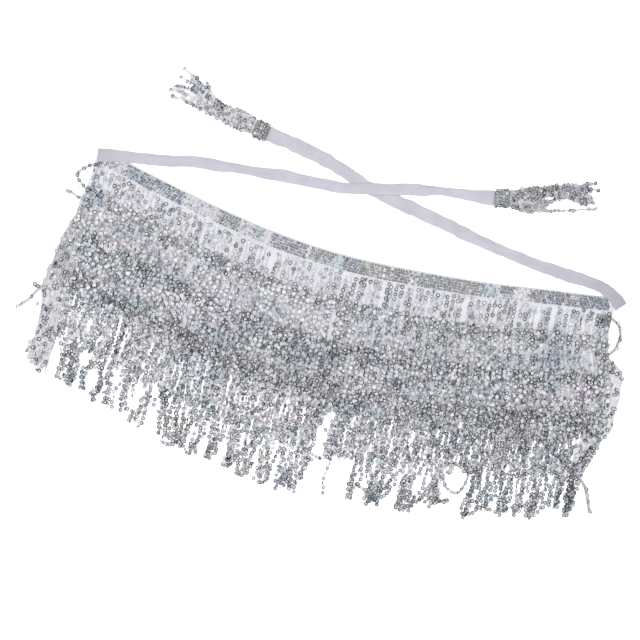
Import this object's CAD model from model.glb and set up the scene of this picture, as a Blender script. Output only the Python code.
"""Looks of the hip belt: cloth shells, sewn and strung sequins, threads, floor, light and camera.

Metres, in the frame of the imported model: +X along the belt, +Y towards the waist, +Z up.
A place on the skirt is given by s, the distance along the waist edge from its middle, and t,
the depth below the waist edge.
"""
import math

import bpy
import numpy as np
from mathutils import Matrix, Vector


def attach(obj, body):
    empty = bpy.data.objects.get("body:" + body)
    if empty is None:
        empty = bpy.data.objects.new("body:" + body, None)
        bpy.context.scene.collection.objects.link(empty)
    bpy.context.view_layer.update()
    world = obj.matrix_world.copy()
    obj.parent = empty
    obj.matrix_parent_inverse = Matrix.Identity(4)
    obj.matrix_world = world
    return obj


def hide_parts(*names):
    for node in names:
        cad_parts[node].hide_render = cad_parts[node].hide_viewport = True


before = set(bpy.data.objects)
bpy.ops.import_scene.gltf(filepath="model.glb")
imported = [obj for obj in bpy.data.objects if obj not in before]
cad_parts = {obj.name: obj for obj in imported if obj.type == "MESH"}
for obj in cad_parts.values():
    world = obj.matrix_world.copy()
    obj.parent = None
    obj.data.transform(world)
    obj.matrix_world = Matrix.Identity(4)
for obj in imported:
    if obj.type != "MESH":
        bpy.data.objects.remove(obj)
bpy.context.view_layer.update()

MM = 0.001
SEED = 7
rng = np.random.default_rng(SEED)

# The photograph's frame: the size of a pixel on the belt, the belt's turn, and the view's centre.
FRAME_PIXELS = 640
PIXEL = 1.473 * MM
BELT_TURN = math.radians(15.55)
VIEW_CENTRE = (-0.0153, -0.0934, 0.003)
LENS = 85.0
SENSOR = 36.0

# The belt's layout, the same as the solids'. The dips are in millimetres, at even steps.
WAIST = 0.800
HALF_WAIST = WAIST / 2
WAIST_RADIUS = 1.770
EDGE_DIPS = [-7.0, -6.0, -2.0, 2.5, 3.6, 0.7, -1.2, -2.4, 1.5]
BAND_DEPTH = 0.025
LEAN_MIDDLE = math.radians(1.0)
LEAN_END = math.radians(2.5)
SPREAD_END = 0.024
SPREAD_START = 0.050
SPREAD_FULL = 0.180
END_DEPTH = 0.90
CLOTH = 0.0012
GAP = 0.0003
LAYER = CLOTH + GAP
TIERS = 4
TAPE_FIRST = 0.075
TAPE_PITCH = 0.0615
TAPE_DEPTH = 0.020
HEM = TAPE_FIRST + 2 * TAPE_PITCH + TAPE_DEPTH / 2 + 0.006
TOP_TAPE_DEPTH = 0.004
TAPE_TOPS = [BAND_DEPTH + GAP] + [TAPE_FIRST + k * TAPE_PITCH - TAPE_DEPTH / 2 for k in range(3)]
TAPE_ENDS = [TAPE_TOPS[0] + TOP_TAPE_DEPTH] + [top + TAPE_DEPTH for top in TAPE_TOPS[1:]]
CLIMB_END = 0.004
FALL_START = HEM + 0.002
FALL_END = HEM + 0.026
FLOOR_GAP = 0.0004

# Not in the solids: the skirt's left end draws in below the first tape, less so further down.
LEFT_PULL = 0.0075
LEFT_PULL_S = (0.340, 0.400)
LEFT_PULL_T = (0.085, 0.120)
LEFT_EASE = 0.45
LEFT_EASE_T = (0.180, 0.240)

# Cloth: how thick the shells are, and the tapes' cuts; the top tape runs up behind the waistband.
PANEL_THICKNESS = 0.0009
BAND_THICKNESS = 0.0007
TAPE_THICKNESS = 0.0002
TAPE_CUTS = [0.010, TAPE_DEPTH, TAPE_DEPTH, TAPE_DEPTH]
TAPE_HIDDEN = LAYER
TAPE_SHOWN = [LAYER + 0.0001] + 3 * [LAYER + 0.0006]

# Fringe strands, and the sequins strung on them.
STRAND_LENGTH = 0.148
SEQUIN_RADIUS = 0.0030
SEQUIN_PITCH = 0.0072
SEQUIN_SIDES = 10
THREAD_RADIUS = 0.0006
THREAD_SIDES = 3

# Places where the strands part: middle s, half width, first and last depth t, in millimetres.
PARTINGS = [
    (-206, 2.5, 34, 56), (-172, 2.5, 40, 60), (-134, 3, 36, 58), (-107, 6, 30, 52),
    (-92, 3, 30, 62), (-63, 2.5, 46, 62), (-22, 2.5, 30, 48), (10, 2, 34, 62), (62, 5, 28, 64),
    (105, 2.5, 30, 60), (131, 4, 42, 64), (150, 3, 44, 62), (187, 5, 28, 64), (232, 2.5, 44, 62),
    (289, 6, 34, 66), (310, 5, 28, 64), (-219, 3, 90, 118), (-146, 2, 92, 112), (1, 4, 88, 122),
    (63, 2.5, 92, 124), (113, 2.5, 90, 112), (196, 3, 96, 126), (262, 2, 90, 116),
    (285, 2.5, 94, 120), (-197, 5.5, 142, 180), (-182, 3, 176, 182), (-226, 2, 160, 180),
    (-22, 2, 172, 186), (40, 2, 166, 182), (93, 2, 166, 186), (325, 5, 178, 188),
    (206, 5, 214, 219), (-353, 7, 304, 326), (-350, 7.5, 334, 362), (-262, 3, 200, 214),
    (-258, 2, 216, 230), (-230, 2, 236, 250), (-154, 2, 240, 272), (-318, 5, 250, 264),
    (-298, 2, 262, 276), (-101, 2, 244, 262), (-44, 3, 262, 290), (29, 8, 236, 252),
    (24, 8, 262, 294), (62, 4, 226, 256), (144, 5, 242, 256), (120, 4, 262, 276),
    (100, 2, 212, 222), (228, 3, 248, 266), (308, 3, 238, 250), (306, 3, 256, 266),
    (188, 2, 262, 274), (172, 6, 288, 302), (216, 11, 290, 316), (168, 8, 308, 324),
    (-205, 5, 292, 300), (-311, 8, 298, 310), (-293, 8, 320, 336), (-264, 8, 300, 316),
    (-230, 8, 302, 330), (-201, 5, 306, 345),
]
PARTING_EASE = 10 * MM
PARTING_WIDTH = 0.85
# How strongly strands part, one by one; at wide partings they all part fully.
PARTING_STRENGTH = (0.4, 1.0)
WIDE_PARTING = 8 * MM

# How the lowest strands gather at their tips: roots from and to, the tips' middle and half width,
# and how deep they reach, in millimetres.
CLUMPS = [
    (-401, -360, -379, 17, 362), (-360, -316, -329, 10, 360), (-316, -298, -305, 4, 354),
    (-298, -282, -288, 3, 358), (-282, -256, -268, 8, 356), (-256, -236, -242, 5, 354),
    (-236, -208, -222, 9, 356), (-208, -150, -172, 18, 356), (-150, -134, -143, 5, 357),
    (-134, -106, -117, 9, 352), (-106, -76, -88, 8, 353), (-76, -54, -66, 7, 357),
    (-54, -26, -40, 9, 357), (-26, 12, -6, 13, 357), (12, 22, 10, 3, 340), (22, 38, 34, 7, 299),
    (38, 45, 42, 1, 357), (45, 74, 60, 12, 297), (74, 94, 82, 5, 356), (94, 128, 112, 9, 354),
    (128, 144, 130, 7, 326), (144, 176, 156, 10, 357), (176, 206, 193, 8, 342),
    (206, 232, 220, 12, 298), (232, 250, 239, 4, 364), (250, 276, 261, 9, 352),
    (276, 298, 286, 6, 356), (298, 316, 306, 4, 358), (316, 342, 328, 8, 358),
    (342, 352, 347, 3, 347), (352, 364, 359, 3, 346), (364, 386, 377, 5, 357),
    (386, 401, 392, 4, 352),
]
GATHER_START = 0.280
GATHER_END = 0.012
GATHER_BY_TIER = [0.0, 0.0, 0.5, 1.0]
GATHER_STRENGTH = (0.65, 1.05)
# Strands at the right end swing inwards: how far, and where that starts and ends in s and t.
SWING = 0.016
SWING_S = (0.360, 0.400)
SWING_T = (0.225, 0.290)

# Places where threads are bare: s from and to, t from and to, in millimetres, and the share of
# sequins that is there.
SPARSE = [
    (-405, -372, 100, 160, 0.75), (-405, -364, 160, 205, 0.22), (-405, -364, 205, 335, 0.20),
    (-405, -364, 335, 372, 0.60),
    (-401, -240, 26, 62, 0.80), (-240, -130, 26, 62, 0.88), (-130, -86, 26, 60, 0.65),
    (-86, 62, 26, 62, 0.92), (62, 270, 26, 64, 0.95), (270, 320, 26, 64, 0.65),
    (340, 382, 92, 122, 0.60), (350, 401, 225, 290, 0.70), (355, 374, 50, 66, 0.2),
    (366, 401, 222, 284, 0.45), (360, 380, 94, 124, 0.25),
    (-345, -210, 322, 362, 0.90), (328, 348, 147, 165, 0.25),
]


def smooth_step(value, start, end):
    share = np.clip((value - start) / (end - start), 0.0, 1.0)
    return share * share * (3 - 2 * share)


def window(value, start, end, ease):
    """1 from start to end, falling softly to 0 over a distance ease on both sides."""
    return smooth_step(value, start - ease, start) * (1 - smooth_step(value, end, end + ease))


def stack(*parts):
    """Values or arrays of matching shapes, side by side along a new last axis."""
    return np.stack(np.broadcast_arrays(*parts), -1)


def pairs(first, second):
    """Each value of one row with each of another, as two flat arrays."""
    return (grid.ravel() for grid in np.meshgrid(first, second, indexing="ij"))


def curve_value(values, position):
    """Smooth readings of a row of values at fractional places in it (Catmull-Rom)."""
    values = np.asarray(values, dtype=float)
    position = np.asarray(position, dtype=float)
    last = len(values) - 1
    row = np.clip(position.astype(int), 0, last - 1)
    share = position - row
    before, start, end, after = (values[np.clip(row + k, 0, last)] for k in (-1, 0, 1, 2))
    square = 2 * before - 5 * start + 4 * end - after
    cube = 3 * (start - end) + after - before
    return start + 0.5 * share * (end - before + share * (square + share * cube))


def line_values(rows, position):
    """Smooth readings, in metres, of each column of rows given in millimetres."""
    return [curve_value(column, position) * MM for column in zip(*rows)]


def place(s, t):
    """Places in the plane of the points at s along the waist edge and t below it."""
    turn = s / WAIST_RADIUS
    across = s / HALF_WAIST
    dip = curve_value(EDGE_DIPS, (across + 1) / 2 * (len(EDGE_DIPS) - 1)) * MM
    lean = LEAN_MIDDLE + LEAN_END * across
    spread = SPREAD_END * across * smooth_step(t, SPREAD_START, SPREAD_FULL)
    depth = t * (1 - (1 - END_DEPTH) * across * across)
    pull = LEFT_PULL * smooth_step(-s, *LEFT_PULL_S) * smooth_step(t, *LEFT_PULL_T)
    pull = pull * (1 - LEFT_EASE * smooth_step(t, *LEFT_EASE_T))
    x = WAIST_RADIUS * np.sin(turn) + spread + depth * np.sin(lean) + pull
    y = BAND_DEPTH / 2 + WAIST_RADIUS * (1 - np.cos(turn)) - dip - depth * np.cos(lean)
    return x, y


def strand_height(tier, t):
    """Height of the underside of a tier's strands at depth t; tier 0 is the top one."""
    knots = []
    for below in range(tier, TIERS):
        layers = 1 + below - tier
        knots.append((TAPE_ENDS[below], layers * LAYER))
        if below + 1 < TIERS:
            knots.append((TAPE_TOPS[below + 1] - CLIMB_END, (layers + 1) * LAYER))
    last = knots[-1][1]
    knots += [(FALL_START, last), (FALL_END, last - LAYER + FLOOR_GAP)]
    depths, heights = zip(*knots)
    return np.interp(t, depths, heights)


# Materials

SEQUIN_ROUGHNESS = {"waistband_sequins": 0.22, "fringe_sequins": 0.20, "tassel_sequins": 0.20}
# The ties' shade, as factors at places along X.
TIE_SHADES = [(-0.42, 0.76), (-0.37, 0.89), (-0.31, 0.97), (0.24, 0.96), (0.33, 0.90),
              (0.38, 0.75), (0.42, 0.72)]


def fill(tree, node, inputs):
    """Set a node's inputs; each is given a value, or the socket that it is linked to."""
    for name, value in inputs.items():
        if isinstance(value, bpy.types.NodeSocket):
            tree.links.new(value, node.inputs[name])
        else:
            node.inputs[name].default_value = value
    return node


def add_node(tree, kind, inputs):
    return fill(tree, tree.nodes.new(kind), inputs)


def coordinates(tree, kind):
    return tree.nodes.new("ShaderNodeTexCoord").outputs[kind]


def ramp_colour(tree, value, stops):
    """The colour of a ramp through stops of a position and a colour, read at a value."""
    ramp = add_node(tree, "ShaderNodeValToRGB", {"Fac": value})
    elements = ramp.color_ramp.elements
    for k, (position, colour) in ((0, stops[0]), (1, stops[-1])):
        elements[k].position = position
        elements[k].color = (*colour, 1)
    for position, colour in stops[1:-1]:
        elements.new(position).color = (*colour, 1)
    return ramp.outputs["Color"]


def new_material(name):
    """A material, its node tree and its shader."""
    material = bpy.data.materials.new(name)
    material.use_nodes = True
    return material, material.node_tree, material.node_tree.nodes["Principled BSDF"]


def sequin_material(name, roughness):
    material, tree, shader = new_material(name)
    tint = tree.nodes.new("ShaderNodeAttribute")
    tint.attribute_name = "tint"
    fill(tree, shader, {"Base Color": tint.outputs["Color"], "Metallic": 1.0, "Roughness": roughness})
    return material


def cloth_material(name, colour, shade, roughness, weave, sheen):
    """Woven cloth: crossing threads as bump, with a soft uneven tone."""
    material, tree, shader = new_material(name)
    vector = coordinates(tree, "Object")
    tone = add_node(tree, "ShaderNodeTexNoise", {"Scale": 38.0, "Detail": 6.0, "Vector": vector})
    both = tree.nodes.new("ShaderNodeMath")
    both.operation = "MAXIMUM"
    for k, direction in enumerate("XY"):
        inputs = {"Scale": 1 / weave, "Distortion": 1.5, "Detail": 1.0, "Vector": vector}
        wave = add_node(tree, "ShaderNodeTexWave", inputs)
        wave.bands_direction = direction
        fill(tree, both, {k: wave.outputs["Fac"]})
    inputs = {"Strength": 0.35, "Distance": 0.0002, "Height": both.outputs[0]}
    bump = add_node(tree, "ShaderNodeBump", inputs)
    uneven = ramp_colour(tree, tone.outputs["Fac"], [(0.35, shade), (0.65, colour)])
    fill(tree, shader, {"Base Color": uneven, "Normal": bump.outputs["Normal"],
                        "Roughness": roughness, "Sheen Weight": sheen})
    return material


def shade_along(material, shades):
    """Multiply a cloth's colour by factors set at places along X."""
    tree = material.node_tree
    shader = tree.nodes["Principled BSDF"]
    start, end = shades[0][0], shades[-1][0]
    split = add_node(tree, "ShaderNodeSeparateXYZ", {"Vector": coordinates(tree, "Object")})
    inputs = {"Value": split.outputs["X"], "From Min": start, "From Max": end}
    along = add_node(tree, "ShaderNodeMapRange", inputs)
    stops = [((x - start) / (end - start), 3 * (factor,)) for x, factor in shades]
    product = tree.nodes.new("ShaderNodeMix")
    product.data_type = "RGBA"
    product.blend_type = "MULTIPLY"
    fill(tree, product, {"Factor": 1.0, "A": shader.inputs["Base Color"].links[0].from_socket,
                         "B": ramp_colour(tree, along.outputs["Result"], stops)})
    fill(tree, shader, {"Base Color": product.outputs["Result"]})


def thread_material(name, dark, light):
    material, tree, shader = new_material(name)
    noise = add_node(tree, "ShaderNodeTexNoise", {"Scale": 900.0})
    grain = ramp_colour(tree, noise.outputs["Fac"], [(0.0, dark), (1.0, light)])
    fill(tree, shader, {"Base Color": grain, "Roughness": 0.6})
    return material


ground = cloth_material("ground_cloth", (0.72, 0.715, 0.755), (0.66, 0.655, 0.705),
                        roughness=0.8, weave=0.0011, sheen=0.15)
ribbon = cloth_material("tie_cloth", (0.545, 0.53, 0.595), (0.49, 0.475, 0.54),
                        roughness=0.5, weave=0.0009, sheen=0.2)
shade_along(ribbon, TIE_SHADES)
cuff_cloth = cloth_material("cuff_cloth", (0.44, 0.445, 0.47), (0.34, 0.345, 0.37),
                            roughness=0.8, weave=0.0011, sheen=0.1)
thread = thread_material("thread", (0.52, 0.52, 0.55), (0.80, 0.79, 0.84))
cord = thread_material("cord", (0.34, 0.35, 0.37), (0.66, 0.66, 0.70))
bare_thread = thread_material("bare_thread", (0.63, 0.635, 0.66), (0.84, 0.845, 0.865))
sequins_of_slot = {slot: sequin_material(slot, rough) for slot, rough in SEQUIN_ROUGHNESS.items()}


# Mesh helpers

# What pieces stand for: a node of the solids, and a slot of the record's materials.
PANEL = ("skirt_panel", "ground_cloth")
BAND = ("waistband", "ground_cloth")
BAND_TRIM = ("waistband", "waistband_sequins")
FRINGE = [(f"fringe_tier_{tier + 1}", "fringe_sequins") for tier in range(TIERS)]


def add_piece(name, points, faces, material, stands_for, face_tints=None, smooth=True):
    """A mesh object from an array of points and an array of four-cornered faces."""
    mesh = bpy.data.meshes.new(name)
    mesh.vertices.add(len(points))
    mesh.vertices.foreach_set("co", np.asarray(points, dtype=np.float32).ravel())
    mesh.loops.add(faces.size)
    mesh.loops.foreach_set("vertex_index", faces.ravel().astype(np.int32))
    mesh.polygons.add(len(faces))
    mesh.polygons.foreach_set("loop_start", np.arange(0, faces.size, 4, dtype=np.int32))
    mesh.polygons.foreach_set("use_smooth", np.full(len(faces), smooth))
    mesh.update(calc_edges=True)
    if face_tints is not None:
        layer = mesh.color_attributes.new("tint", "FLOAT_COLOR", "CORNER")
        rgba = np.ones((faces.size, 4), dtype=np.float32)
        rgba[:, :3] = np.repeat(face_tints, 4, axis=0)
        layer.data.foreach_set("color", rgba.ravel())
    mesh.materials.append(material)
    piece = bpy.data.objects.new(name, mesh)
    bpy.context.collection.objects.link(piece)
    node, slot = stands_for
    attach(piece, "root")
    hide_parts(node)
    return piece


def grid_faces(rows, columns, closed=False):
    """Faces of a grid of points laid out row by row; closed joins the last column to the first."""
    across = columns if closed else columns - 1
    i, j = np.meshgrid(np.arange(rows - 1), np.arange(across), indexing="ij")
    k = (j + 1) % columns
    corners = [i * columns + j, (i + 1) * columns + j, (i + 1) * columns + k, i * columns + k]
    return np.stack(corners, -1).reshape(-1, 4)


def cloth_piece(name, points, thickness, material, stands_for, closed=False):
    """A shell of cloth on a grid of points, thickened away from its outer side."""
    faces = grid_faces(*points.shape[:2], closed)
    piece = add_piece(name, points.reshape(-1, 3), faces, material, stands_for)
    thicken = piece.modifiers.new("thickness", "SOLIDIFY")
    thicken.thickness = thickness
    thicken.offset = -1.0
    return piece


def soft_noise(count, scale_s, scale_t):
    """A smooth function of s and t made of a few seeded waves, between about -1 and 1."""
    k_s = rng.normal(0, 1, count) / scale_s
    k_t = rng.normal(0, 1, count) / scale_t
    phase = rng.uniform(0, 2 * math.pi, count)

    def read(s, t):
        waves = np.sin(k_s * np.asarray(s)[..., None] + k_t * np.asarray(t)[..., None] + phase)
        return waves.sum(-1) / math.sqrt(count)

    return read


# Sequins

TONES = {
    "silver": (0.925, 0.922, 0.955),
    "steel": (0.76, 0.79, 0.83),
    "blue": (0.69, 0.76, 0.86),
    "green": (0.76, 0.84, 0.83),
    "rose": (0.93, 0.89, 0.94),
    "olive": (0.83, 0.85, 0.82),
    "pale": (1.0, 1.0, 1.0),
    "cyan": (0.80, 0.92, 0.96),
}
# Radius and height of the rings of points of a cup sequin.
CUP_RINGS = ((0.16, 0.0), (0.60, 0.0), (1.0, 1.0))
# Kinds of sequin: cup depth, the least and most bright middle, and the least and most bright rim.
KINDS = {
    "dark": (0.31, 0.66, 1.0, 0.22, 0.60),
    "ring": (0.10, 0.55, 0.75, 0.92, 1.0),
    "pale": (0.12, 0.86, 1.0, 0.82, 0.98),
    "soft": (0.24, 0.88, 1.0, 0.46, 0.72),
    "outlined": (0.36, 0.95, 1.0, 0.10, 0.36),
}


def sequin_template(sides):
    """A cup sequin of radius 1 and cup depth 1: a flat middle with a hole, and a slanted rim."""
    angles = np.arange(sides) * 2 * math.pi / sides
    rings = [stack(r * np.cos(angles), r * np.sin(angles), h) for r, h in CUP_RINGS]
    return np.concatenate(rings), grid_faces(3, sides, closed=True)


def kinds_of(count, shares):
    """Cups, middle and rim brightness of sequins whose kinds are drawn by shares, one row each."""
    odds = np.cumsum(np.broadcast_to(shares, (count, len(KINDS))), axis=1)
    picks = (rng.random(count)[:, None] * odds[:, -1:] > odds).sum(axis=1)
    cup, *ranges = np.array(list(KINDS.values()))[picks].T
    return cup * rng.uniform(0.8, 1.15, count), rng.uniform(*ranges[:2]), rng.uniform(*ranges[2:])


def sequin_piece(name, centres, roll, pitch, radii, looks, tints, sides, stands_for):
    """One mesh of many sequins, none of them reaching below its centre's height. roll and pitch
    tilt each one, tints is its colour and looks holds the depth of its rim, up or down, and how
    bright its middle and its rim are."""
    cups, middles, rims = looks
    template, faces = sequin_template(sides)
    count = len(centres)
    spin = rng.uniform(0, 2 * math.pi, count)
    normal = stack(np.sin(roll) * np.cos(pitch), np.sin(pitch), np.cos(roll) * np.cos(pitch))
    first = stack(np.cos(roll), 0, -np.sin(roll))
    second = np.cross(normal, first)
    cos, sin = np.cos(spin)[:, None], np.sin(spin)[:, None]
    axes = [cos * first + sin * second, cos * second - sin * first, normal * cups[:, None]]
    shapes = np.einsum("vk,nkc->nvc", template, np.stack(axes, 1))
    points = centres[:, None] + radii[:, None, None] * shapes
    points[..., 2] += np.maximum(centres[:, 2:] - points[..., 2].min(axis=1, keepdims=True), 0)
    all_faces = (faces[None] + (np.arange(count) * len(template))[:, None, None]).reshape(-1, 4)
    shades = np.repeat(stack(middles, rims), sides, axis=1)
    face_tints = (tints[:, None] * shades[:, :, None]).reshape(-1, 3)
    material = sequins_of_slot[stands_for[1]]
    return add_piece(name, points.reshape(-1, 3), all_faces, material, stands_for, face_tints, smooth=False)


def mixed_tints(count, shares):
    """Tints drawn from the tones by their shares, each a little lighter or darker."""
    names = list(shares)
    odds = np.array([shares[n] for n in names], dtype=float)
    picks = rng.choice(len(names), count, p=odds / odds.sum())
    tints = np.array([TONES[n] for n in names])[picks]
    return tints * rng.uniform(0.86, 1.0, (count, 1))


FRINGE_SHARES = {"silver": 7, "steel": 3, "blue": 0.6, "green": 0.5, "rose": 0.5, "olive": 0.5, "pale": 2.0}
# How the tint changes in cool and in lilac patches.
COOL = (-0.105, -0.04, 0.003)
LILAC = (0.0, -0.04, -0.005)
cool_patch = soft_noise(16, 0.014, 0.014)
dim_patch = soft_noise(16, 0.016, 0.012)
PATCH_LIMIT = 1.6
# Dim places: how the kinds' shares change there, the least share of a kind, and the darkening.
KINDS_IN_DIM = (0.4, -0.1, -0.3, 0.1, 0.3)
LEAST_SHARE = 0.005
DIM_DARKENING = 0.08
EDGE_TURN = (0.9, 1.35)
UP_AND_DOWN = (0.4, 0.6)


def strung_piece(name, centres, kind_shares, edge_share, tilt, stands_for, dimmer=0.0):
    """Sequins strung on threads, of mixed kinds, some turned on edge; they shift in soft patches
    between a cool and a lilac tone and between light and dim, and dimmer adds to that."""
    count = len(centres)
    roll = rng.normal(0, tilt, count)
    edge = rng.random(count) < edge_share
    roll = np.where(edge, rng.choice([-1, 1], count) * rng.uniform(*EDGE_TURN, count), roll)
    pitch = rng.normal(0, 0.8 * tilt, count)
    cool, dim = (np.clip(read(centres[:, 0], centres[:, 1]), -PATCH_LIMIT, PATCH_LIMIT)[:, None]
                 for read in (cool_patch, dim_patch))
    cool = 0.8 * cool + 0.5 * dim
    dim = dim + dimmer
    shares = np.maximum(np.asarray(kind_shares) * (1 + dim * np.array([KINDS_IN_DIM])), LEAST_SHARE)
    cups, middles, rims = kinds_of(count, shares)
    cups = cups * rng.choice([-1, 1], count, p=UP_AND_DOWN)
    tints = mixed_tints(count, FRINGE_SHARES)
    tints = tints * (1 + np.maximum(cool, 0) * COOL + np.maximum(-cool, 0) * LILAC)
    tints = tints * (1 - DIM_DARKENING * dim)
    radii = SEQUIN_RADIUS * rng.uniform(0.92, 1.05, count)
    looks = (cups, middles, rims)
    return sequin_piece(name, centres, roll, pitch, radii, looks, tints, SEQUIN_SIDES, stands_for)


# Threads


def thread_piece(name, paths, stands_for, radius=THREAD_RADIUS, material=thread):
    """Thin tubes through rows of points; radius is one number, or one for each point of a row."""
    angles = np.arange(THREAD_SIDES) * 2 * math.pi / THREAD_SIDES
    cos, sin = np.cos(angles)[None, :, None], np.sin(angles)[None, :, None]
    points = []
    faces = []
    start = 0
    for path in paths:
        along = np.gradient(path, axis=0)
        along /= np.linalg.norm(along, axis=1, keepdims=True)
        side = stack(along[:, 1], -along[:, 0], 0)
        side /= np.maximum(np.linalg.norm(side, axis=1, keepdims=True), 1e-9)
        ring = cos * side[:, None] + sin * np.cross(side, along)[:, None]
        thickness = np.broadcast_to(radius, len(path))[:, None, None]
        points.append((path[:, None] + thickness * ring).reshape(-1, 3))
        faces.append(grid_faces(len(path), THREAD_SIDES, closed=True) + start)
        start += len(path) * THREAD_SIDES
    return add_piece(name, np.concatenate(points), np.concatenate(faces), material, stands_for)


def wander(t, lengths):
    """Waves of several lengths along threads, a row for each, each with a phase and a size."""
    total = 0
    for length in lengths:
        phase = rng.uniform(0, 2 * math.pi, (len(t), 1))
        total = total + np.sin(t * 2 * math.pi / length + phase) * rng.normal(0, 0.6, (len(t), 1))
    return total


# Cloth on the skirt

CLOTH_COLUMNS = 241
PANEL_ROWS = 61
STRIP_ROWS = 9
PANEL_WRINKLE = 0.00012
BAND_TOP = LAYER + 0.0009


def skirt_cloth(name, t_values, depth, top, thickness, wrinkle, stands_for):
    """Cloth across the skirt at the depths t_values, its upper side at top and its cut depth deep."""
    t, s = np.meshgrid(t_values, np.linspace(-HALF_WAIST, HALF_WAIST, CLOTH_COLUMNS), indexing="ij")
    z = top + soft_noise(9, 0.006, 0.05)(s, t) * wrinkle
    piece = cloth_piece(name, stack(*place(s, t), z), thickness, ground, stands_for)


skirt_cloth("panel_cloth", np.linspace(0, HEM, PANEL_ROWS), HEM, CLOTH, PANEL_THICKNESS,
            PANEL_WRINKLE, PANEL)
skirt_cloth("band_cloth", np.linspace(0, BAND_DEPTH, STRIP_ROWS), BAND_DEPTH, BAND_TOP,
            BAND_THICKNESS, 0.0, BAND)


def add_tape(tier):
    rows = np.linspace(TAPE_ENDS[tier] - TAPE_CUTS[tier], TAPE_ENDS[tier], STRIP_ROWS)
    shown = smooth_step(rows, TAPE_TOPS[tier] - MM, TAPE_TOPS[tier] + MM)
    top = (TAPE_HIDDEN + (TAPE_SHOWN[tier] - TAPE_HIDDEN) * shown)[:, None]
    skirt_cloth(f"tape_cloth_{tier + 1}", rows, TAPE_CUTS[tier], top, TAPE_THICKNESS,
                0.0, FRINGE[tier])


# Sewn sequins on the waistband and the tapes

BAND_ROWS = 5
BAND_FIRST_ROW = 0.0040
BAND_ROW_PITCH = 0.0042
BAND_PITCH = 0.0043
BAND_LAST = 0.394
BAND_RADIUS = 0.0019
BAND_TONE_DEPTH = 1.55
BAND_DARKENING = 0.11
BAND_STRAY_SHARE = 0.05
SEWN_SIDES = 8
SEWN_TILT = 0.18

# Patches of the waistband from left to right: where each starts in millimetres, its tone, how
# many of its sequins have a dark rim, and its first and last dark row.
BAND_PATCHES = [
    (-397, "silver", 0.4, 0, 4), (-366, "silver", 0.2, 3, 4), (-350, "blue", 0.75, 0, 4),
    (-318, "steel", 0.7, 1, 4), (-306, "blue", 0.75, 0, 2), (-284, "blue", 0.85, 0, 4),
    (-256, "pale", 0.0, 0, 4), (-250, "silver", 0.15, 0, 4), (-200, "green", 0.9, 0, 4),
    (-168, "silver", 0.1, 0, 4), (-146, "green", 0.7, 1, 2), (-130, "silver", 0.1, 0, 4),
    (-116, "steel", 0.85, 0, 4), (-60, "pale", 0.0, 0, 4), (-57, "green", 0.9, 0, 3),
    (-18, "cyan", 0.2, 0, 2), (-6, "blue", 0.95, 0, 4), (20, "olive", 0.95, 0, 4),
    (55, "pale", 0.0, 0, 4), (58, "olive", 0.9, 0, 4), (66, "pale", 0.2, 0, 4),
    (69, "steel", 1.0, 0, 4), (97, "pale", 0.1, 0, 4), (100, "green", 0.9, 0, 4),
    (104, "pale", 0.1, 0, 2), (107, "green", 0.95, 0, 4), (146, "steel", 1.0, 0, 4),
    (156, "olive", 0.95, 0, 4), (203, "cyan", 0.5, 0, 4), (222, "silver", 0.2, 0, 4),
    (230, "blue", 0.95, 0, 2), (250, "pale", 0.05, 0, 4), (272, "olive", 0.9, 0, 4),
    (292, "blue", 0.9, 0, 4), (322, "olive", 0.85, 0, 4), (348, "blue", 0.95, 0, 4),
]


def sewn_piece(name, s, t, radius, dark_share, tones, z, stands_for):
    """Small sequins sewn flat at s and t; dark_share of them have a dark rim, the rest are pale."""
    x, y = place(s, t)
    count = x.size
    dark = np.broadcast_to(dark_share, count)
    roll = rng.normal(0, SEWN_TILT, count)
    pitch = rng.normal(-0.05, SEWN_TILT, count)
    looks = kinds_of(count, stack(0.3 * dark, 0, 1 - dark, 0.15 * dark, 0.6 * dark))
    tints = tones * rng.uniform(0.82, 1.0, (count, 1))
    centres = stack(x, y, z + rng.uniform(0, 0.0003, count))
    radii = radius * rng.uniform(0.95, 1.05, count)
    return sequin_piece(name, centres, roll, pitch, radii, looks, tints, SEWN_SIDES, stands_for)


def rows_and_columns(first, last, pitch, first_row, row_pitch, rows, slant):
    """Places s and t, and the row, of sequins sewn in rows that are each shifted by half a pitch."""
    s, row = pairs(np.arange(first, last, pitch), np.arange(rows))
    s = s + slant * row + (row % 2) * pitch / 2 + rng.normal(0, 0.0003, s.size)
    return s, first_row + row_pitch * row + rng.normal(0, 0.0002, s.size), row


# Ties: centre line and width in millimetres, from the root to the cuff, the same as the solids'.
TIE_FROM_LEFT = [
    (-396, 53.0, 18), (-378, 57.0, 18), (-339, 64.0, 17), (-306, 70.0, 17), (-262, 80.5, 17),
    (-218, 86.0, 16), (-173, 91.0, 14), (-129, 96.0, 18), (-84, 99.0, 17), (-39, 103.0, 17),
    (4, 112.5, 17), (47, 123.5, 17), (80, 131.5, 17), (104, 137.0, 12), (134, 141.0, 15),
    (163, 145.0, 20), (185, 149.0, 22),
]
TIE_FROM_RIGHT = [
    (407, 44.0, 20), (397, 52.5, 19), (382, 60.5, 18), (360, 66.0, 17), (325, 67.5, 19),
    (285, 69.5, 18), (244, 73.5, 16), (203, 78.5, 16), (160, 85.5, 18), (116, 94.0, 19),
    (68, 102.0, 20), (22, 109.5, 19), (-20, 121.0, 18), (-60, 133.5, 20), (-100, 142.0, 21),
    (-135, 147.0, 21), (-163, 151.0, 22),
]
TIE_STEPS = 10
TIE_COLUMNS = 23
TIE_FLAT = (0.020, 0.600)
TIE_THICKNESS = 0.0005
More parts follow.
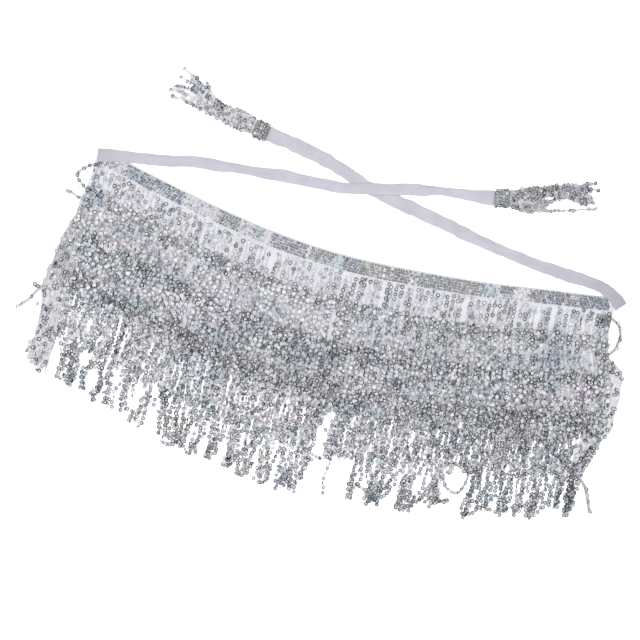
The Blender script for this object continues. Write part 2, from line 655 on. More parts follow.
# The ties' height: over the floor, rounded, uneven, at least, and at most under the other tie.
TIE_LIFT = 0.0003
TIE_ROUND = 0.0009
TIE_UNEVEN = 0.00012
TIE_LEAST = 0.00035
TIE_UNDER = 0.0011
EDGE_UNEVEN = 0.075
ROOT_HEIGHT = 2 * LAYER
ROOT_FULL_X = 0.338
ROOT_NONE_X = 0.306
CROSSING = (-0.050, 0.068)
CROSSING_RAMP = 0.030
CREASE_EASE = 0.03
# Sewn sequins stay clear of this many of a tie's first rows, by this much.
ROOT_ROWS = 5
ROOT_CLEARANCE = 0.0004

# Creases of the ties: start and end as shares of the length, place across at each (-1 to 1),
# half width in shares of the half width, and height in millimetres, down if negative.
LEFT_CREASES = [
    (0.00, 0.16, 0.3, -0.2, 0.30, 0.5), (0.05, 0.30, -0.6, -0.3, 0.25, -0.4),
    (0.14, 0.36, 0.5, 0.1, 0.28, 0.7), (0.30, 0.46, -0.2, -0.6, 0.30, 0.7),
    (0.38, 0.52, 0.6, 0.2, 0.25, -0.5), (0.48, 0.66, 0.0, 0.5, 0.35, 0.6),
    (0.60, 0.84, -0.5, 0.4, 0.30, 0.8), (0.74, 0.90, 0.6, -0.6, 0.35, 1.2),
    (0.80, 0.98, -0.6, 0.5, 0.30, -0.5), (0.86, 1.00, 0.1, 0.3, 0.40, 0.7),
]
RIGHT_CREASES = [
    (0.00, 0.12, -0.5, 0.4, 0.35, 0.8), (0.06, 0.26, 0.5, 0.2, 0.25, 0.5),
    (0.16, 0.40, -0.4, -0.6, 0.28, -0.4), (0.28, 0.44, 0.1, 0.5, 0.35, 0.8),
    (0.40, 0.58, -0.3, 0.2, 0.30, 0.6), (0.52, 0.70, 0.6, 0.3, 0.25, -0.5),
    (0.60, 0.74, -0.5, -0.1, 0.30, 0.5), (0.76, 0.92, 0.3, 0.6, 0.30, 0.7),
    (0.84, 1.00, -0.4, 0.0, 0.35, 0.6),
]


def tie_line(table, steps):
    """Centres, directions and half widths along a tie, in metres."""
    x, y, width = line_values(table, np.arange((len(table) - 1) * steps + 1) / steps)
    along = stack(np.gradient(x), np.gradient(y))
    along /= np.linalg.norm(along, axis=1, keepdims=True)
    return stack(x, y), along, width / 2


def add_tie(name, stands_for, table, creases, over):
    centre, along, half = tie_line(table, TIE_STEPS)
    share = np.linspace(0, 1, len(centre))[:, None]
    u = np.linspace(-1, 1, TIE_COLUMNS)[None]
    x = centre[:, :1]
    at_crossing = window(x, *CROSSING, CROSSING_RAMP)
    base = ROOT_HEIGHT * smooth_step(np.abs(x), ROOT_NONE_X, ROOT_FULL_X) + over * LAYER * at_crossing
    height = TIE_ROUND * (1 - np.abs(u) ** 5)
    for start, end, from_u, to_u, width, rise in creases:
        middle = from_u + (to_u - from_u) * np.clip((share - start) / (end - start), 0, 1)
        crease = np.exp(-((u - middle) / width) ** 2) * (1 - u ** 6)
        ends = window(share, start + CREASE_EASE, end - CREASE_EASE, CREASE_EASE)
        height = height + rise * MM * crease * ends
    distance = share * TIE_FLAT[1]
    height = height + TIE_UNEVEN * soft_noise(10, 0.03, 0.5)(distance, u)
    if not over:
        height = height * (1 - at_crossing) + at_crossing * np.minimum(height, TIE_UNDER)
    height = np.maximum(height, TIE_LEAST)
    edge = 1 + EDGE_UNEVEN * soft_noise(8, 0.0055, 1.0)(distance, np.sign(u))
    side = stack(-along[:, 1], along[:, 0])
    plane = centre[:, None] + side[:, None] * (half[:, None] * edge * u)[..., None]
    points = np.concatenate([plane, (base + height + TIE_LIFT)[..., None]], -1)
    tie = cloth_piece(name, points[:, ::-1], TIE_THICKNESS, ribbon, stands_for)


add_tie("tie_left_cloth", ("tie_from_left", "tie_cloth"), TIE_FROM_LEFT, LEFT_CREASES, over=True)
add_tie("tie_right_cloth", ("tie_from_right", "tie_cloth"), TIE_FROM_RIGHT, RIGHT_CREASES, over=False)


def clear_of_ties(x, y):
    """Which points aren't under a tie's root."""
    clear = np.ones(len(x), dtype=bool)
    for table in (TIE_FROM_LEFT, TIE_FROM_RIGHT):
        centre, _, half = tie_line(table[:ROOT_ROWS], TIE_STEPS)
        distance = np.hypot(x[:, None] - centre[None, :, 0], y[:, None] - centre[None, :, 1])
        clear &= (distance - half[None]).min(1) > ROOT_CLEARANCE
    return clear


def add_band_sequins():
    starts, names, darks, first_dark, last_dark = (np.array(column) for column in zip(*BAND_PATCHES))
    s, t, row = rows_and_columns(starts[0] * MM, BAND_LAST, BAND_PITCH, BAND_FIRST_ROW,
                                 BAND_ROW_PITCH, BAND_ROWS, 0.0)
    patch = np.clip(np.searchsorted(starts * MM, s, side="right") - 1, 0, None)
    in_dark_rows = (row >= first_dark[patch]) & (row <= last_dark[patch])
    shares = np.where(in_dark_rows, darks[patch], BAND_STRAY_SHARE)
    tones = np.array([TONES[name] for name in names])[patch] ** BAND_TONE_DEPTH
    tones = tones * (1 - BAND_DARKENING * shares[:, None])
    clear = clear_of_ties(*place(s, t))
    sewn_piece("band_sequins", s[clear], t[clear], BAND_RADIUS, shares[clear], tones[clear],
               BAND_TOP + 0.0003, BAND_TRIM)


add_band_sequins()


def kept(s, t):
    """Which sequins are there, by the places where threads are bare."""
    share = np.ones_like(s)
    for first, last, top, bottom, part in SPARSE:
        inside = (s > first * MM) & (s < last * MM) & (t > top * MM) & (t < bottom * MM)
        share = np.where(inside, part, share)
    return rng.random(s.shape) < share


TAPE_ROWS = 5
TAPE_ROW_PITCH = 0.0040
TAPE_FIRST_ROW = 0.002
TAPE_SLANT = 0.0008
TAPE_REACH = 0.398
TAPE_SEQUIN_PITCH = 0.0042
TAPE_SEQUIN_RADIUS = 0.0021
TAPE_SHARES = {"steel": 4, "olive": 1.2, "green": 1.5, "blue": 2.2, "silver": 3}
TAPE_DARK_SHARES = [0.0, 0.38, 0.48, 0.60]
TAPE_DARK_RISE = 0.08


def add_tape_sequins(tier):
    """Rows of sequins on a tape, more of them dark towards the right."""
    s, t, _ = rows_and_columns(-TAPE_REACH, TAPE_REACH, TAPE_SEQUIN_PITCH,
                               TAPE_TOPS[tier] + TAPE_FIRST_ROW, TAPE_ROW_PITCH, TAPE_ROWS, TAPE_SLANT)
    tones = mixed_tints(s.size, TAPE_SHARES)
    there = kept(s, t)
    dark = TAPE_DARK_SHARES[tier] + TAPE_DARK_RISE * s / HALF_WAIST
    sewn_piece(f"tape_sequins_{tier + 1}", s[there], t[there], TAPE_SEQUIN_RADIUS, dark[there],
               tones[there], TAPE_SHOWN[tier] + 0.0002, FRINGE[tier])


# Fringe


def parted(s, t, strength):
    """Strands pushed aside where the fringe parts, each by its own strength."""
    for middle, half, start, end in np.array(PARTINGS) * MM:
        opened = window(t, start, end, PARTING_EASE) * (1 if half >= WIDE_PARTING else strength)
        offset = s - middle
        reach = 3 * half
        push = np.where(np.abs(offset) < reach, PARTING_WIDTH * half * (1 - np.abs(offset) / reach), 0)
        s = s + np.where(offset < 0, -1, 1) * push * opened
    return s


def gathered(root, s, t, strength):
    """Strands drawn towards their clump's tip."""
    for start, end, tip, half, reach in np.array(CLUMPS) * MM:
        inside = (root >= start) & (root < end)
        middle = (start + end) / 2
        target = tip + (root - middle) / ((end - start) / 2) * half
        pull = strength * smooth_step(t, GATHER_START, reach - GATHER_END)
        s = s + np.where(inside, (target - root) * pull, 0)
    return s


def reach_of(root, tier):
    """How deep the strands end, by their roots."""
    if tier < TIERS - 1:
        return TAPE_ENDS[tier] + STRAND_LENGTH + 0 * root
    reach = np.zeros_like(root)
    for start, end, _, _, depth in np.array(CLUMPS) * MM:
        reach = np.where((root >= start) & (root < end), depth, reach)
    return reach


# Shares of the kinds of sequin, by tier.
KINDS_BY_TIER = [(0.18, 0.06, 0.38, 0.31, 0.07), (0.09, 0.25, 0.50, 0.14, 0.02),
                 (0.20, 0.24, 0.30, 0.22, 0.04), (0.28, 0.18, 0.22, 0.23, 0.09)]
KINDS_AT_TIPS = (0.36, 0.04, 0.12, 0.24, 0.24)
TIP_T = (0.280, 0.310)
KINDS_BELOW = (0.08, 0.18, 0.60, 0.13, 0.01)
BELOW_T = (0.080, 0.092)
KINDS_OVER_TAPES = (0.24, 0.05, 0.22, 0.40, 0.09)
OVER_TAPES_SHARE = 0.55
# Dimmer places on the skirt: middle s and t and reach in s and t, in millimetres, and how much,
# which is below zero where it's brighter.
DIM_ZONES = [(285, 232, 130, 48, 1.5), (-350, 225, 60, 45, 0.2), (-30, 105, 150, 35, -0.5),
             (300, 75, 100, 14, -1.0), (-150, 75, 50, 14, -0.8), (-350, 75, 50, 14, -1.0),
             (-330, 165, 110, 50, -1.1), (355, 105, 50, 24, 0.8), (-180, 72, 14, 14, -1.2),
             (142, 181, 18, 16, -1.3), (52, 290, 30, 18, 1.0), (-231, 322, 16, 20, -1.0),
             (-47, 265, 14, 12, -1.0)]
DIM_TO_RIGHT = [0.2, 0.0, 0.3, 0.3]
STRANDS_BY_TIER = [104, 106, 124, 182]
# How far strands wander and sequins lie off their thread, in millimetres, and how they tilt.
WANDER_BY_TIER = [0.6, 1.0, 1.4, 2.0]
JITTER_BY_TIER = [0.4, 0.8, 0.8, 0.6]
TILT_BY_TIER = [0.20, 0.30, 0.30, 0.26]
# The top tier's sequins lie further off their thread towards the left, in metres.
LEFT_JITTER = 0.0022
LEFT_JITTER_S = (0.130, 0.260)
WANDER_LENGTHS = (0.032, 0.055, 0.100)
SWAY = 0.0028
EDGE_SHARE = 0.11
ROOT_INSET = 0.002
ROOT_UNEVEN = 0.0009
ROOT_HIDDEN = 0.002
TIP_UNEVEN = 0.0035
FIRST_SEQUIN = (0.001, 0.006)
STRUNG_LIFT = 0.0007


def over_tapes(t):
    """How far places lie over one of the sequinned tapes."""
    over = np.zeros_like(t)
    for top, end in zip(TAPE_TOPS[1:], TAPE_ENDS[1:]):
        over = np.maximum(over, (t > top) & (t < end))
    return OVER_TAPES_SHARE * over


def dimness(s, t, tier):
    dim = DIM_TO_RIGHT[tier] * s / HALF_WAIST
    for middle_s, middle_t, reach_s, reach_t, amount in DIM_ZONES:
        off_s, off_t = (s / MM - middle_s) / reach_s, (t / MM - middle_t) / reach_t
        dim = dim + amount * np.exp(-off_s ** 2 - off_t ** 2)
    return dim


# Dense patches of dark sequins at the right end of the top fringe: s and t from and to, how dark,
# and how many layers up they lie.
END_PATCHES = [((0.379, 0.397), (0.032, 0.052), 0.95, 2), ((0.384, 0.399), (0.086, 0.124), 0.60, 3)]
END_PATCH_PITCH = 0.0045


def add_end_patches():
    for k, (s_range, t_range, dark, layers) in enumerate(END_PATCHES):
        s, t = pairs(np.arange(*s_range, END_PATCH_PITCH), np.arange(*t_range, END_PATCH_PITCH))
        s = s + rng.normal(0, 0.0004, s.size)
        sewn_piece(f"end_patch_sequins_{k + 1}", s, t, TAPE_SEQUIN_RADIUS, dark,
                   mixed_tints(s.size, TAPE_SHARES), layers * LAYER, FRINGE[0])


def strand_places(tier):
    """Where a tier's strands start, and the places s and t of what is strung on them, a row for
    each strand, with which of those are on it and how far off it the sequins may lie."""
    strands = STRANDS_BY_TIER[tier]
    root = -HALF_WAIST + ROOT_INSET + (np.arange(strands) + 0.5) * (WAIST - 2 * ROOT_INSET) / strands
    root = root + rng.normal(0, ROOT_UNEVEN, strands)
    reach = reach_of(root, tier) - np.abs(rng.normal(0, TIP_UNEVEN, strands))
    start = (TAPE_ENDS[tier] if tier else TAPE_TOPS[0]) + rng.uniform(*FIRST_SEQUIN, strands)
    count = int((reach - start).max() / SEQUIN_PITCH) + 1
    t = start[:, None] + np.arange(count)[None] * SEQUIN_PITCH + rng.normal(0, 0.0007, (strands, count))
    on_strand = t <= reach[:, None]
    share = np.clip((t - start[:, None]) / STRAND_LENGTH, 0, 1)
    roots = root[:, None]
    sway = soft_noise(12, 0.05, 0.05)(roots, t) * SWAY * smooth_step(share, 0, 0.7)
    wandered = wander(t, WANDER_LENGTHS) * WANDER_BY_TIER[tier] * MM * smooth_step(share, 0, 0.45)
    jitter = JITTER_BY_TIER[tier] * MM + LEFT_JITTER * smooth_step(-roots, *LEFT_JITTER_S) * (tier == 0)
    pull = GATHER_BY_TIER[tier] * rng.uniform(*GATHER_STRENGTH, (strands, 1))
    s = gathered(roots, roots + sway + wandered, t, pull)
    s = s - SWING * smooth_step(roots, *SWING_S) * smooth_step(t, *SWING_T)
    s = parted(s, t, rng.uniform(*PARTING_STRENGTH, (strands, 1)))
    return root, start, s, t, on_strand, jitter


def add_tier(tier):
    add_tape(tier)
    if tier:
        add_tape_sequins(tier)
    root, start, s, t, on_strand, jitter = strand_places(tier)
    threads = stack(*place(s, t), strand_height(tier, t) + STRUNG_LIFT)
    offset_s, offset_z = rng.normal(0, 1, t.shape) * jitter, rng.uniform(-0.0003, 0.0004, t.shape)
    centres = threads + stack(offset_s, 0, offset_z)
    use = on_strand & kept(s, t)
    s, t = s[use], t[use]
    kinds = np.array(KINDS_BY_TIER[tier])
    for part, other in ((smooth_step(t, *TIP_T), KINDS_AT_TIPS),
                        ((tier == 0) * smooth_step(t, *BELOW_T), KINDS_BELOW),
                        (over_tapes(t), KINDS_OVER_TAPES)):
        kinds = kinds * (1 - part[:, None]) + np.array(other) * part[:, None]
    strung_piece(f"strung_sequins_{tier + 1}", centres[use], kinds, EDGE_SHARE, TILT_BY_TIER[tier],
                 FRINGE[tier], dimness(s, t, tier)[:, None])
    roots = stack(*place(root, start - ROOT_HIDDEN), LAYER + CLOTH)
    paths = [np.concatenate([roots[k:k + 1], threads[k][on_strand[k]]]) for k in range(len(root))]
    thread_piece(f"threads_{tier + 1}", paths, FRINGE[tier])


for tier in range(TIERS):
    add_tier(tier)
add_end_patches()

LOOSE_STEPS = 14
BEAD_SWELL = 0.35
DARK_KINDS = (0.40, 0.04, 0.06, 0.10, 0.40)
# Loose strands at the skirt's sides and among its tips: thread, tier counted from 0, thread radius
# in millimetres, places (s, t) in millimetres, and the sequins' places as shares of the length.
LOOSE = [
    ("left_loop", thread, 0, 1.7,
     [(-391, 24), (-404, 33), (-411, 42), (-418, 52), (-418, 61), (-411, 66), (-394, 72)],
     (0.04, 0.1, 0.18, 0.36, 0.54, 0.62, 0.8, 0.9, 0.97)),
    ("left_end", thread, 0, 1.6,
     [(-390, 82), (-399, 87), (-408, 89), (-416, 88), (-423, 90)], (0.2, 0.35, 0.76, 0.9)),
    ("left_tail", thread, 3, 2.5,
     [(-394, 241), (-402, 250), (-408, 262), (-411, 272), (-417, 284), (-424, 297)],
     (0.55, 0.85, 0.99)),
    ("left_hook", thread, 3, 1.6,
     [(-399, 240), (-403, 246), (-408, 249), (-411, 248)], (0.5, 0.7, 0.95)),
    ("right_loop", cord, 0, 2.2,
     [(398, 34), (408, 42), (414, 50), (417, 64), (414, 76), (410, 86), (399, 96)],
     (0.2, 0.36, 0.55, 0.6, 0.8)),
    ("right_string", cord, 3, 2.5,
     [(371, 281), (380, 294), (389, 308), (394, 321), (398, 335), (403, 352)],
     (0.1, 0.48, 0.64, 0.80, 0.98)),
    ("cross_loop", cord, 3, 1.6,
     [(199, 296), (203, 312), (210, 319), (218, 323), (225, 320), (229, 308), (231, 292)],
     (0.15, 0.3, 0.4, 0.5, 0.6, 0.72, 0.85)),
    ("curled_tail", cord, 3, 1.6,
     [(190, 326), (195, 333), (201, 337), (208, 338), (213, 335)], (0.1, 0.3, 0.5, 0.7, 0.9)),
]


def add_loose():
    for name, material, tier, radius, line, sequins in LOOSE:
        position = np.linspace(0, len(line) - 1, LOOSE_STEPS * len(line))
        x, y = place(*line_values(line, position))
        beads = radius * MM * (1 + BEAD_SWELL * np.cos(np.arange(len(x)) * math.pi / 2))
        path = stack(x, y, beads.max())
        thread_piece(f"{name}_thread", [path], FRINGE[tier], beads, material)
        at = np.array(sequins) * (len(path) - 1)
        centres = stack(*(np.interp(at, np.arange(len(path)), column) for column in path.T))
        centres[:, 2] += beads.max()
        strung_piece(f"{name}_sequins", centres, DARK_KINDS, 0.2, 0.25, FRINGE[tier])


add_loose()

# Strands that lie across the lowest ones: their places (s, t) in millimetres.
CROSSINGS = [
    [(-104, 292), (-94, 286), (-84, 278), (-75, 266), (-67, 254)],
    [(-183, 358), (-174, 359), (-165, 354), (-158, 347)],
    [(-151, 350), (-145, 356), (-140, 355), (-141, 346)],
    [(-94, 351), (-86, 350), (-81, 337), (-75, 327)],
    [(-73, 357), (-65, 356), (-59, 346), (-56, 334)],
    [(-41, 358), (-35, 355), (-31, 348), (-32, 334)],
    [(-17, 359), (-15, 346), (-4, 339), (-3, 325)],
    [(12, 335), (15, 319), (16, 302)],
    [(10, 293), (21, 297), (30, 300), (40, 296)],
    [(77, 329), (88, 328), (100, 334), (109, 329), (118, 320), (132, 324)],
    [(106, 354), (112, 339), (120, 330), (128, 325)],
    [(110, 349), (120, 343), (127, 338), (132, 329)],
    [(146, 353), (150, 334), (169, 342), (176, 333), (182, 319), (187, 309)],
    [(158, 352), (168, 342), (180, 333), (187, 321)],
    [(189, 347), (193, 335), (202, 337), (211, 335)],
    [(237, 360), (238, 353), (245, 355), (252, 348), (258, 342), (265, 337), (273, 325)],
    [(284, 355), (278, 341), (283, 327), (286, 311)],
    [(289, 347), (300, 342), (313, 342), (318, 334), (324, 323)],
    [(325, 360), (320, 347), (326, 336), (327, 318), (321, 299)],
    [(354, 343), (354, 325), (352, 306), (353, 289)],
    [(373, 352), (370, 326), (370, 309), (368, 288)],
    [(379, 339), (375, 317), (370, 298)],
    [(376, 215), (364, 217), (352, 226), (347, 246), (348, 262)],
    [(348, 265), (355, 271), (363, 284), (369, 278), (376, 286)],
]
CROSSING_PITCH = 0.0056
CROSSING_DROP = (0.285, 0.300)
CROSSING_LIFT = 0.0016
CROSSING_KINDS = (0.50, 0.08, 0.12, 0.08, 0.22)


def add_crossings():
    paths = []
    for crossing in CROSSINGS:
        length = np.hypot(*np.diff(np.array(crossing) * MM, axis=0).T).sum()
        position = np.linspace(0, len(crossing) - 1, int(length / CROSSING_PITCH) + 2)
        s, t = line_values(crossing, position)
        above, below = (strand_height(tier, t) for tier in (TIERS - 2, TIERS - 1))
        z = above + (below - above) * smooth_step(t, *CROSSING_DROP) + CROSSING_LIFT
        paths.append(stack(*place(s, t), z))
    strung_piece("crossing_sequins", np.concatenate(paths), CROSSING_KINDS, 0.2, 0.3, FRINGE[TIERS - 1])
    thread_piece("crossing_threads", paths, FRINGE[TIERS - 1])


add_crossings()

# Bundles of bare threads at the skirt's ends: tier counted from 0, how many threads they hold,
# how many of the outermost are darker, how many sequins, and the inner and outer line (s, t).
BUNDLES = [
    ("left_bundle_upper", 1, 34, 3, 22,
     [(-384, 110), (-378, 135), (-370, 160), (-366, 185), (-364, 210)],
     [(-398, 110), (-397, 130), (-397, 150), (-398, 180), (-402, 210)]),
    ("left_bundle_lower", 3, 64, 6, 42,
     [(-363, 205), (-363, 245), (-362, 290), (-360, 320), (-358, 368)],
     [(-402, 205), (-402, 236), (-395, 264), (-391, 303), (-390, 336), (-392, 368)]),
    ("right_bundle", 2, 62, 6, 52,
     [(394, 100), (392, 140), (388, 175), (380, 205), (370, 240), (363, 282)],
     [(400, 100), (412, 116), (417, 134), (411, 160), (408, 190), (409, 217), (399, 235), (389, 252),
      (388, 272), (374, 286)]),
]
BUNDLE_STEPS = 40
BUNDLE_UNEVEN = 5
BUNDLE_TIP_SHARE = 0.13
BUNDLE_LIFT = 0.0009
BUNDLE_SEQUIN_LIFT = 0.0008
BUNDLE_WAVE = 0.0016
BUNDLE_WAVES = (0.026, 0.047, 0.090)


def add_bundles():
    for name, tier, count, dark, sequins, inner, outer in BUNDLES:
        across = (np.arange(count) + rng.uniform(0.1, 0.9, count))[:, None] / count
        along = np.linspace(0, 1, BUNDLE_STEPS)
        (inner_s, inner_t), (outer_s, outer_t) = (line_values(line, along * (len(line) - 1))
                                                  for line in (inner, outer))
        s = inner_s + (outer_s - inner_s) * across
        t = inner_t + (outer_t - inner_t) * across
        s = s + BUNDLE_WAVE * wander(t, BUNDLE_WAVES)
        z = BUNDLE_LIFT + rng.uniform(0, BUNDLE_LIFT, (count, 1))
        z = z + strand_height(TIERS - 1, t) * (np.abs(s) < HALF_WAIST)
        paths = stack(*place(s, t), z)
        ends = rng.integers(BUNDLE_STEPS - BUNDLE_UNEVEN, BUNDLE_STEPS + 1, count)
        threads = [path[:end] for path, end in zip(paths, ends)]
        pale = count - dark
        thread_piece(f"{name}_threads", threads[:pale], FRINGE[tier], THREAD_RADIUS, bare_thread)
        thread_piece(f"{name}_edge", threads[pale:], FRINGE[tier])
        strand = (count * rng.uniform(0, 1, sequins) ** 0.5).astype(int)
        on_threads = paths[strand, rng.integers(2, BUNDLE_STEPS - 1, sequins)]
        tips = np.stack([path[-1] for path in threads])[rng.random(count) < BUNDLE_TIP_SHARE]
        centres = np.concatenate([on_threads, tips])
        centres[:, 2] += BUNDLE_SEQUIN_LIFT
        strung_piece(f"{name}_sequins", centres, DARK_KINDS, 0.15, 0.25, FRINGE[tier])


add_bundles()

# Cuffs and tassels

CUFF_LENGTH = 0.0215
CUFF_WIDTH_AT_TIE = 0.0245
CUFF_WIDTH_AT_FRINGE = 0.0280
CUFF_TOPS = [(0.0, 0.0031), (0.12, 0.0052), (0.25, 0.0058), (0.75, 0.0058), (0.88, 0.0036), (1.0, 0.0020)]
CUFF_BASE = 0.0004
CUFF_THICKNESS = 0.0006
CUFF_ROUND = 0.16
CUFF_ROWS = (0.0022, 0.85 * CUFF_LENGTH, 0.0048)
CUFF_COLUMNS = (-0.92, 0.92, 6)
CUFF_SEQUIN_RADIUS = 0.0024
CUFF_KINDS = (0.32, 0.06, 0.12, 0.20, 0.30)
CUFF_LEAN = 0.8
CUFF_SHADE = 0.9
TASSEL_PITCH = 0.0056
TASSEL_KINDS = (0.33, 0.20, 0.32, 0.10, 0.05)
TASSEL_THREAD_RADIUS = 0.0011
BARE_PLACES = (0.25, 0.5, 0.75)
BARE_RADIUS = 0.0008
BARE_REACH = 0.013
TASSEL_BETWEEN_SHARE = 0.04
TASSEL_SHARES = {"steel": 4, "olive": 2, "green": 2, "silver": 3}
# Strands lie at this height, and near the cuff up to three steps higher, which fall off again.
TASSEL_HEIGHT = 0.0011
TASSEL_STEP = 0.0009
TASSEL_FALL = 0.05

# Tassel strands: how far each reaches from the cuff's near edge, and how far across it lies at
# even steps from the cuff's far edge to its tip, in millimetres.
LEFT_TASSEL = [
    (149, 13, 19, 22, 27, 30, 33), (139, 13, 12, 19, 23, 24, 30), (152, 7, 11, 18, 22, 21, 25),
    (142, 7, 5, 13, 14, 22, 24), (140, -4, 4, -1, 9, 20, 21), (129, -10, -6, -1, 4, 8, 1),
    (144, -11, -10, -6, 8, 8, 5), (156, -11, -16, -13, -10, -7, -3), (138, -2, 2, 6, 14, 20, -1),
    (140, 10, 5, 9, 20, 24, 15), (136, 5, 12, 14, 10, 10, -1), (146, 9, 15, 16, 14, 14, 4),
    (148, 12, 16, 18, 17, 16, 12),
]
RIGHT_TASSEL = [
    (117, -11, -14, -14, -12, -20, -36), (146, -11, -14, -12, -17, -30, -36),
    (154, -8, -10, -8, -14, -29, -39), (139, -3, -4, -8, -14, -24, -30),
    (154, -4, -6, -2, -10, -20, -25), (133, -6, -3, -6, -8, -14, -16),
    (150, -1, 2, -4, -12, -22, -38), (157, 4, 4, 2, -4, -14, -9), (157, 8, 9, 5, 1, -4, -1),
    (140, 3, 8, 10, 8, 8, 3), (152, 10, 12, 10, 7, 5, 6),
]


def past_tie_end(table):
    """A function that gives points past a tie's end, and the direction across it."""
    centre, along, _ = tie_line(table, 2)
    origin, ahead = centre[-1], along[-1]
    side = np.array([-ahead[1], ahead[0]])

    def at(distance, across, height):
        x, y = (origin[k] + distance * ahead[k] + across * side[k] for k in (0, 1))
        return stack(x, y, height)

    return at, side


def cuff_half(share):
    return (CUFF_WIDTH_AT_TIE + (CUFF_WIDTH_AT_FRINGE - CUFF_WIDTH_AT_TIE) * share) / 2


def add_cuff(name, stands_for, at, side):
    """A flat tube of cloth, and rows of sequins that lean outwards towards its sides."""
    share = np.linspace(0, 1, 13)[:, None]
    half = cuff_half(share) * (1 - CUFF_ROUND * np.abs(2 * share - 1) ** 4)
    tops = np.interp(share, *zip(*CUFF_TOPS))
    over = np.linspace(-1, 1, 15)[None]
    under = np.linspace(0.9, -0.9, 5)[None]
    distance = GAP + CUFF_LENGTH * share
    top_points = at(distance, half * over, tops * (1 - 0.5 * over ** 4))
    low_points = at(distance, half * under, CUFF_BASE)
    wall = np.concatenate([top_points, low_points], axis=1)
    cuff = cloth_piece(f"{name}_cuff_cloth", wall, CUFF_THICKNESS, cuff_cloth, stands_for, closed=True)

    row, column = pairs(np.arange(*CUFF_ROWS), np.linspace(*CUFF_COLUMNS))
    count = row.size
    row = row + rng.normal(0, 0.0008, count)
    column = column + rng.normal(0, 0.06, count)
    top = np.interp(row / CUFF_LENGTH, *zip(*CUFF_TOPS)) * (1 - 0.5 * column ** 4)
    centres = at(GAP + row, cuff_half(row / CUFF_LENGTH) * column, top + 0.0005)
    looks = kinds_of(count, CUFF_KINDS)
    lean = CUFF_LEAN * np.sign(column) * np.abs(column) ** 3 / np.abs(side).max()
    roll = lean * side[0] + rng.normal(0, 0.1, count)
    pitch = lean * side[1] + rng.normal(0, 0.1, count)
    tints = mixed_tints(count, TASSEL_SHARES) * CUFF_SHADE
    sequin_piece(f"{name}_cuff_sequins", centres, roll, pitch, np.full(count, CUFF_SEQUIN_RADIUS), looks,
                 tints, SEWN_SIDES, stands_for)


def add_tassel(name, stands_for, table, strands, sequin_share, material):
    """A cuff past a tie's end, its strands, and bare threads between neighbouring strands."""
    at, side = past_tie_end(table)
    add_cuff(name, stands_for, at, side)
    start = CUFF_LENGTH + GAP
    paths = []
    places = []
    for k, (reach, *across) in enumerate(strands):
        distance = np.arange(start, reach * MM, TASSEL_PITCH)
        position = (distance - start) / (reach * MM - start) * (len(across) - 1)
        offset = curve_value(across, position) * MM + rng.normal(0, 0.0005, distance.size)
        height = TASSEL_HEIGHT + TASSEL_STEP * (k % 4) * np.exp(-(distance - start) / TASSEL_FALL)
        path = at(distance, offset, height)
        paths.append(path)
        places.append(path[1:][rng.random(len(path) - 1) < sequin_share])
    bare = []
    for path, other in zip(paths, paths[1:] + paths[:1]):
        shared = min(len(path), len(other))
        apart = np.linalg.norm(path[:shared] - other[:shared], axis=1) > BARE_REACH
        shared = max(int(np.argmax(np.append(apart, True))), 2)
        for part in BARE_PLACES:
            between = path[:shared] * (1 - part) + other[:shared] * part
            bare.append(between)
            places.append(between[1:][rng.random(shared - 1) < TASSEL_BETWEEN_SHARE])
    thread_piece(f"{name}_threads", paths, stands_for, TASSEL_THREAD_RADIUS, material)
    thread_piece(f"{name}_bare_threads", bare, stands_for, BARE_RADIUS, material)
    strung_piece(f"{name}_sequins", np.concatenate(places), TASSEL_KINDS, 0.15, 0.26, stands_for)


add_tassel("left_tassel", ("tassel_from_left", "tassel_sequins"), TIE_FROM_LEFT, LEFT_TASSEL, 0.80, cord)
add_tassel("right_tassel", ("tassel_from_right", "tassel_sequins"), TIE_FROM_RIGHT, RIGHT_TASSEL, 0.68,
           thread)


# Floor, light and camera

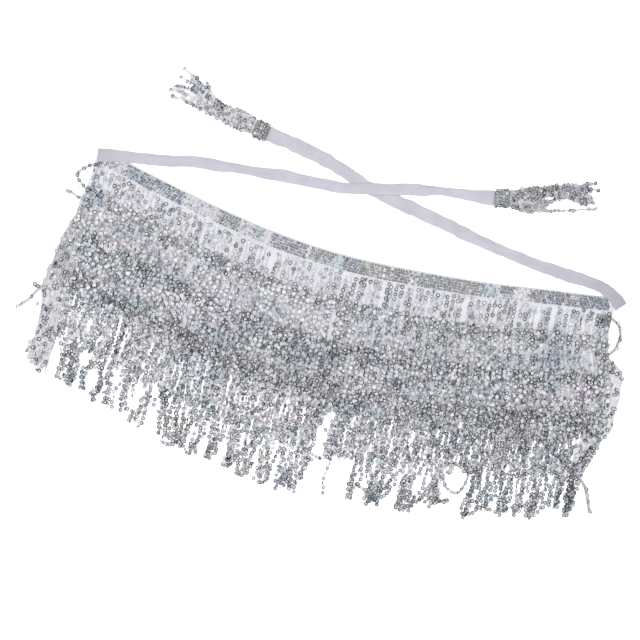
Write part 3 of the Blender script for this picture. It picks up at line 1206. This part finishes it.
FLOOR_HALF = 12.0
FLOOR_HEIGHT = -0.0002
SKY_STOPS = [(0.15, (0.15, 0.15, 0.155)), (0.70, (0.76, 0.76, 0.77)), (1.0, (1.0, 1.0, 1.0))]
SUN_WIDTH = math.radians(70)
SUN_TURN = (math.radians(14), math.radians(-10), 0)


def add_object(name, data):
    item = bpy.data.objects.new(name, data)
    bpy.context.collection.objects.link(item)
    return item


def add_floor():
    mesh = bpy.data.meshes.new("floor")
    corners = [(x * FLOOR_HALF, y * FLOOR_HALF, 0) for x, y in ((-1, -1), (1, -1), (1, 1), (-1, 1))]
    mesh.from_pydata(corners, [], [(0, 1, 2, 3)])
    floor = add_object("floor", mesh)
    floor.location.z = FLOOR_HEIGHT
    material, tree, shader = new_material("floor_white")
    fill(tree, shader, {"Base Color": (0.9, 0.9, 0.9, 1), "Roughness": 0.9, "Specular IOR Level": 0.0,
                        "Emission Color": (1, 1, 1, 1), "Emission Strength": 0.35})
    mesh.materials.append(material)


def add_world():
    """A bright sky overhead that darkens towards the horizon, so that slanted rims look dark."""
    world = bpy.data.worlds.new("studio")
    world.use_nodes = True
    tree = world.node_tree
    split = add_node(tree, "ShaderNodeSeparateXYZ", {"Vector": coordinates(tree, "Generated")})
    sky = ramp_colour(tree, split.outputs["Z"], SKY_STOPS)
    fill(tree, tree.nodes["Background"], {"Color": sky, "Strength": 1.08})
    bpy.context.scene.world = world


def add_light():
    """A wide soft light from above that lights the cloth and isn't mirrored in the sequins."""
    data = bpy.data.lights.new("softbox", "SUN")
    data.energy = 1.7
    data.angle = SUN_WIDTH
    light = add_object("softbox", data)
    light.rotation_euler = SUN_TURN
    light.visible_glossy = False


def add_camera():
    data = bpy.data.cameras.new("camera")
    data.lens = LENS
    data.sensor_width = SENSOR
    camera = add_object("camera", data)
    distance = FRAME_PIXELS * PIXEL * LENS / SENSOR
    camera.location = Vector(VIEW_CENTRE) + Vector((0, 0, distance))
    camera.rotation_euler = (0, 0, BELT_TURN)
    bpy.context.scene.camera = camera


add_floor()
add_world()
add_light()
add_camera()
bpy.context.scene.view_settings.view_transform = "Standard"
